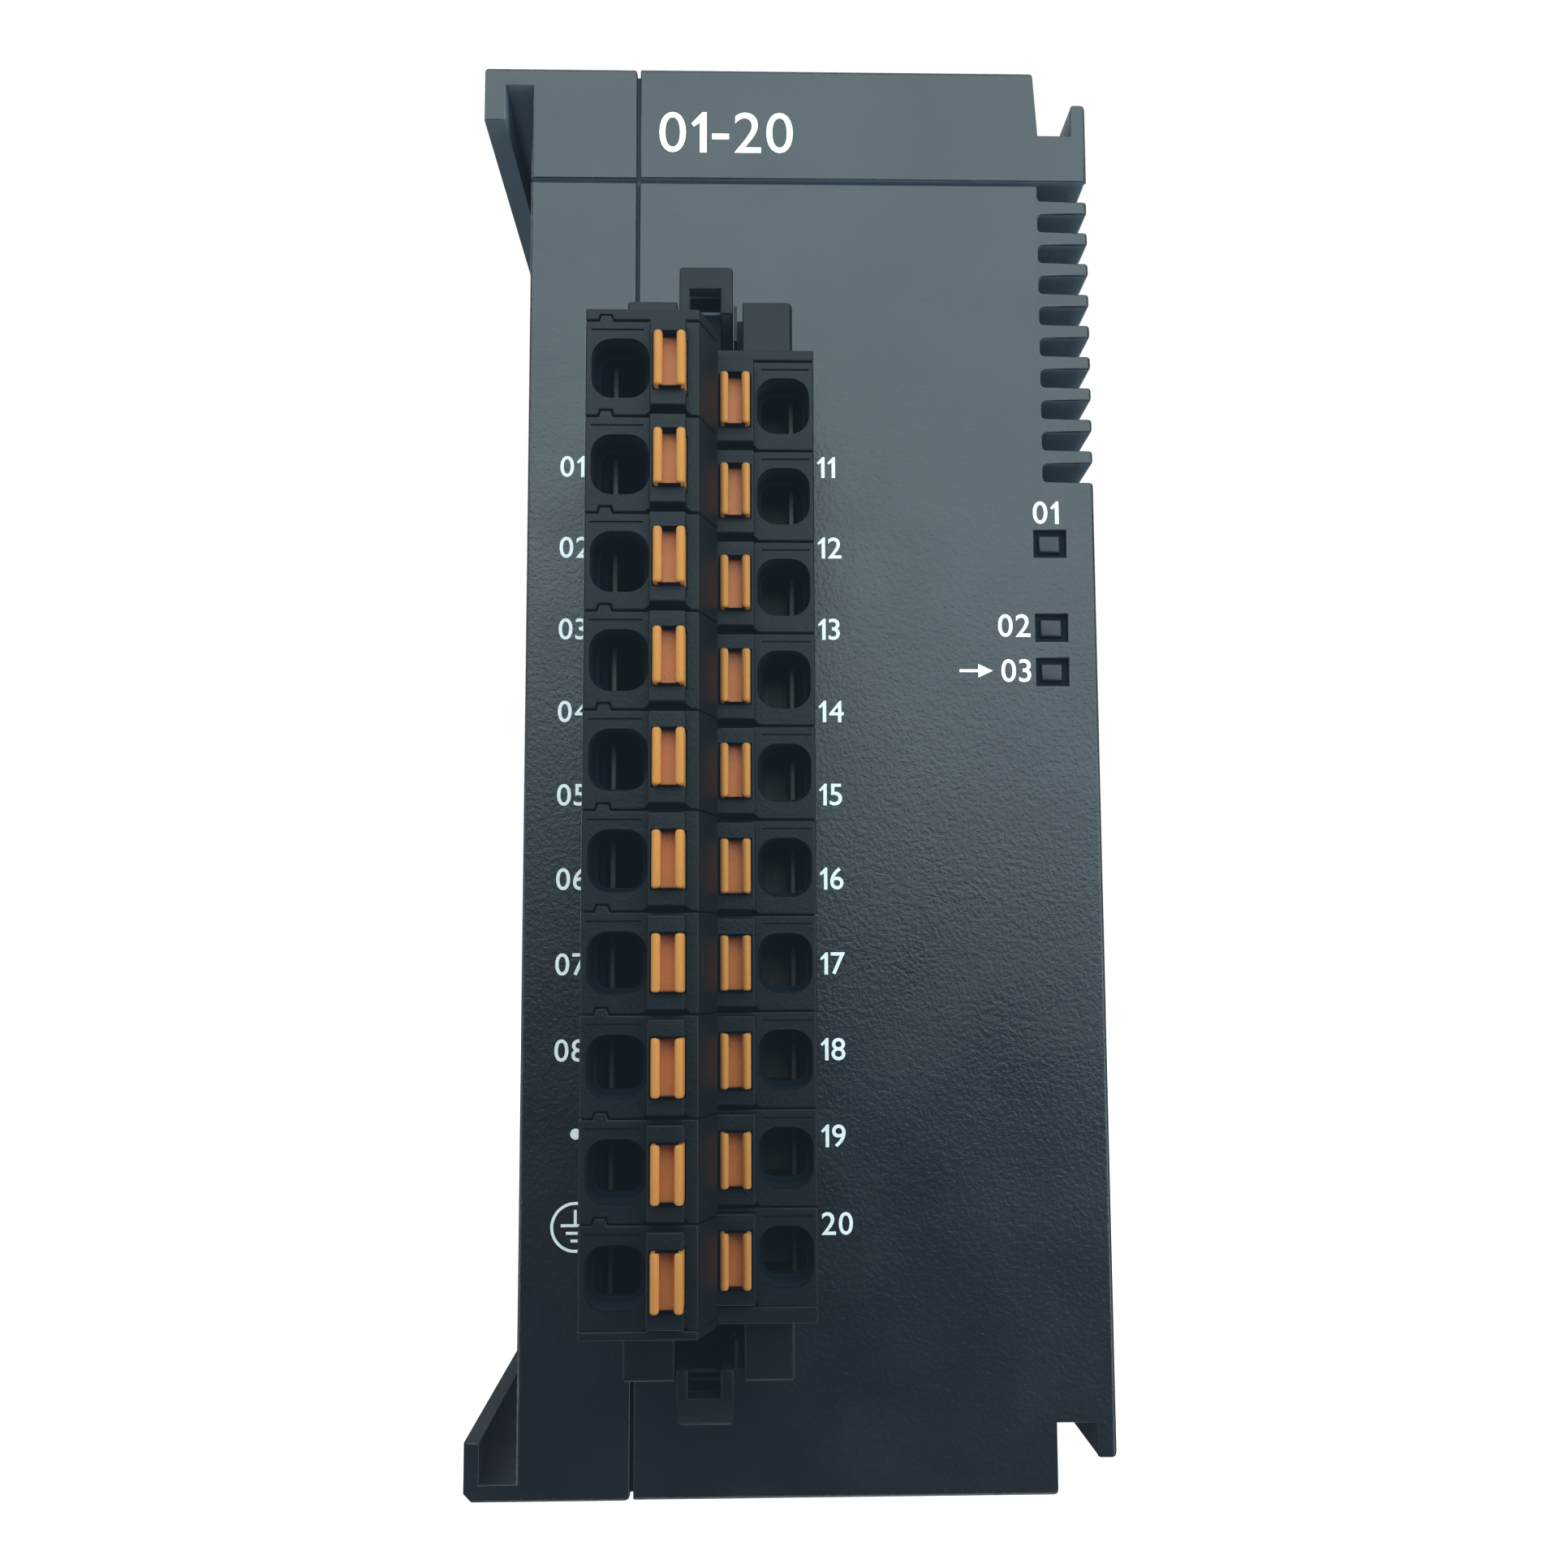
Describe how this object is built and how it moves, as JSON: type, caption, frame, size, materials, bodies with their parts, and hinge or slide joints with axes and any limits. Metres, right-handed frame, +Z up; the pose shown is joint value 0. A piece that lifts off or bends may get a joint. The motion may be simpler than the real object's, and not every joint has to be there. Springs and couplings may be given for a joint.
{
  "type": "plc expansion module",
  "caption": "Slim rail-mounted controller expansion module with side hooks, a vent comb, lamp windows and a stepped pull-off spring-clamp terminal plug.",
  "frame": {"origin": "centre of the rail seat: mid width, mid height, on the plane that bears on the front of the 35 mm rail", "axes": "+X to the right seen from the front, +Y towards the rail and the cabinet wall, +Z up; the terminal plug faces -Y"},
  "size_m": [0.038, 0.0941, 0.0872],
  "materials": {
    "housing_shell": "fine leather-grain moulded plastic, slate grey",
    "header": "satin near-black plastic",
    "latch": "satin dark grey plastic",
    "plug": "satin black plastic",
    "pusher": "satin orange plastic",
    "clamp": "tinned spring strip",
    "board": "green solder mask",
    "lens": "frosted clear plastic",
    "rail_clip": "satin black plastic"
  },
  "bodies": {
    "housing": {"main_housing": "housing_shell", "left_cover": "housing_shell", "terminal_header": "header", "front_board": "board", "main_board": "board", "light_guide": "lens"},
    "plug": {"plug_end_plate": "plug", "plug_slice_01": "plug", "plug_slice_02": "plug", "plug_slice_03": "plug", "plug_slice_04": "plug", "plug_slice_05": "plug", "plug_slice_06": "plug", "plug_slice_07": "plug", "plug_slice_08": "plug", "plug_slice_09": "plug", "plug_slice_10": "plug", "clamp_upper_01": "clamp", "clamp_upper_02": "clamp", "clamp_upper_03": "clamp", "clamp_upper_04": "clamp", "clamp_upper_05": "clamp", "clamp_upper_06": "clamp", "clamp_upper_07": "clamp", "clamp_upper_08": "clamp", "clamp_upper_09": "clamp", "clamp_upper_10": "clamp", "clamp_lower_01": "clamp", "clamp_lower_02": "clamp", "clamp_lower_03": "clamp", "clamp_lower_04": "clamp", "clamp_lower_05": "clamp", "clamp_lower_06": "clamp", "clamp_lower_07": "clamp", "clamp_lower_08": "clamp", "clamp_lower_09": "clamp", "clamp_lower_10": "clamp"},
    "latch_top": {"latch_lever_top": "latch"},
    "latch_bottom": {"latch_lever_bottom": "latch"},
    "rail_clip": {"din_clip": "rail_clip"},
    "pusher_upper_01_body": {"pusher_upper_01": "pusher"},
    "pusher_upper_02_body": {"pusher_upper_02": "pusher"},
    "pusher_upper_03_body": {"pusher_upper_03": "pusher"},
    "pusher_upper_04_body": {"pusher_upper_04": "pusher"},
    "pusher_upper_05_body": {"pusher_upper_05": "pusher"},
    "pusher_upper_06_body": {"pusher_upper_06": "pusher"},
    "pusher_upper_07_body": {"pusher_upper_07": "pusher"},
    "pusher_upper_08_body": {"pusher_upper_08": "pusher"},
    "pusher_upper_09_body": {"pusher_upper_09": "pusher"},
    "pusher_upper_10_body": {"pusher_upper_10": "pusher"},
    "pusher_lower_01_body": {"pusher_lower_01": "pusher"},
    "pusher_lower_02_body": {"pusher_lower_02": "pusher"},
    "pusher_lower_03_body": {"pusher_lower_03": "pusher"},
    "pusher_lower_04_body": {"pusher_lower_04": "pusher"},
    "pusher_lower_05_body": {"pusher_lower_05": "pusher"},
    "pusher_lower_06_body": {"pusher_lower_06": "pusher"},
    "pusher_lower_07_body": {"pusher_lower_07": "pusher"},
    "pusher_lower_08_body": {"pusher_lower_08": "pusher"},
    "pusher_lower_09_body": {"pusher_lower_09": "pusher"},
    "pusher_lower_10_body": {"pusher_lower_10": "pusher"}
  },
  "joints": [
    {"name": "plug_pull", "type": "slide", "parent": "housing", "child": "plug", "axis": [0, -1, 0], "range_m": [0, 0.014]},
    {"name": "latch_top_tilt", "type": "hinge", "parent": "housing", "child": "latch_top", "pos_m": [-0.0064, -0.0696, 0.02345], "axis": [-1, 0, 0], "range_deg": [0, 25], "stiffness_Nm_per_rad": 0.002},
    {"name": "latch_bottom_tilt", "type": "hinge", "parent": "housing", "child": "latch_bottom", "pos_m": [-0.0064, -0.0696, -0.03355], "axis": [1, 0, 0], "range_deg": [0, 25], "stiffness_Nm_per_rad": 0.002},
    {"name": "rail_clip_slide", "type": "slide", "parent": "housing", "child": "rail_clip", "axis": [0, 0, -1], "range_m": [0, 0.004], "stiffness_N_per_m": 800},
    {"name": "pusher_upper_01_press", "type": "slide", "parent": "plug", "child": "pusher_upper_01_body", "axis": [0, 1, 0], "range_m": [0, 0.0015], "stiffness_N_per_m": 400},
    {"name": "pusher_upper_02_press", "type": "slide", "parent": "plug", "child": "pusher_upper_02_body", "axis": [0, 1, 0], "range_m": [0, 0.0015], "stiffness_N_per_m": 400},
    {"name": "pusher_upper_03_press", "type": "slide", "parent": "plug", "child": "pusher_upper_03_body", "axis": [0, 1, 0], "range_m": [0, 0.0015], "stiffness_N_per_m": 400},
    {"name": "pusher_upper_04_press", "type": "slide", "parent": "plug", "child": "pusher_upper_04_body", "axis": [0, 1, 0], "range_m": [0, 0.0015], "stiffness_N_per_m": 400},
    {"name": "pusher_upper_05_press", "type": "slide", "parent": "plug", "child": "pusher_upper_05_body", "axis": [0, 1, 0], "range_m": [0, 0.0015], "stiffness_N_per_m": 400},
    {"name": "pusher_upper_06_press", "type": "slide", "parent": "plug", "child": "pusher_upper_06_body", "axis": [0, 1, 0], "range_m": [0, 0.0015], "stiffness_N_per_m": 400},
    {"name": "pusher_upper_07_press", "type": "slide", "parent": "plug", "child": "pusher_upper_07_body", "axis": [0, 1, 0], "range_m": [0, 0.0015], "stiffness_N_per_m": 400},
    {"name": "pusher_upper_08_press", "type": "slide", "parent": "plug", "child": "pusher_upper_08_body", "axis": [0, 1, 0], "range_m": [0, 0.0015], "stiffness_N_per_m": 400},
    {"name": "pusher_upper_09_press", "type": "slide", "parent": "plug", "child": "pusher_upper_09_body", "axis": [0, 1, 0], "range_m": [0, 0.0015], "stiffness_N_per_m": 400},
    {"name": "pusher_upper_10_press", "type": "slide", "parent": "plug", "child": "pusher_upper_10_body", "axis": [0, 1, 0], "range_m": [0, 0.0015], "stiffness_N_per_m": 400},
    {"name": "pusher_lower_01_press", "type": "slide", "parent": "plug", "child": "pusher_lower_01_body", "axis": [0, 1, 0], "range_m": [0, 0.0015], "stiffness_N_per_m": 400},
    {"name": "pusher_lower_02_press", "type": "slide", "parent": "plug", "child": "pusher_lower_02_body", "axis": [0, 1, 0], "range_m": [0, 0.0015], "stiffness_N_per_m": 400},
    {"name": "pusher_lower_03_press", "type": "slide", "parent": "plug", "child": "pusher_lower_03_body", "axis": [0, 1, 0], "range_m": [0, 0.0015], "stiffness_N_per_m": 400},
    {"name": "pusher_lower_04_press", "type": "slide", "parent": "plug", "child": "pusher_lower_04_body", "axis": [0, 1, 0], "range_m": [0, 0.0015], "stiffness_N_per_m": 400},
    {"name": "pusher_lower_05_press", "type": "slide", "parent": "plug", "child": "pusher_lower_05_body", "axis": [0, 1, 0], "range_m": [0, 0.0015], "stiffness_N_per_m": 400},
    {"name": "pusher_lower_06_press", "type": "slide", "parent": "plug", "child": "pusher_lower_06_body", "axis": [0, 1, 0], "range_m": [0, 0.0015], "stiffness_N_per_m": 400},
    {"name": "pusher_lower_07_press", "type": "slide", "parent": "plug", "child": "pusher_lower_07_body", "axis": [0, 1, 0], "range_m": [0, 0.0015], "stiffness_N_per_m": 400},
    {"name": "pusher_lower_08_press", "type": "slide", "parent": "plug", "child": "pusher_lower_08_body", "axis": [0, 1, 0], "range_m": [0, 0.0015], "stiffness_N_per_m": 400},
    {"name": "pusher_lower_09_press", "type": "slide", "parent": "plug", "child": "pusher_lower_09_body", "axis": [0, 1, 0], "range_m": [0, 0.0015], "stiffness_N_per_m": 400},
    {"name": "pusher_lower_10_press", "type": "slide", "parent": "plug", "child": "pusher_lower_10_body", "axis": [0, 1, 0], "range_m": [0, 0.0015], "stiffness_N_per_m": 400}
  ]
}
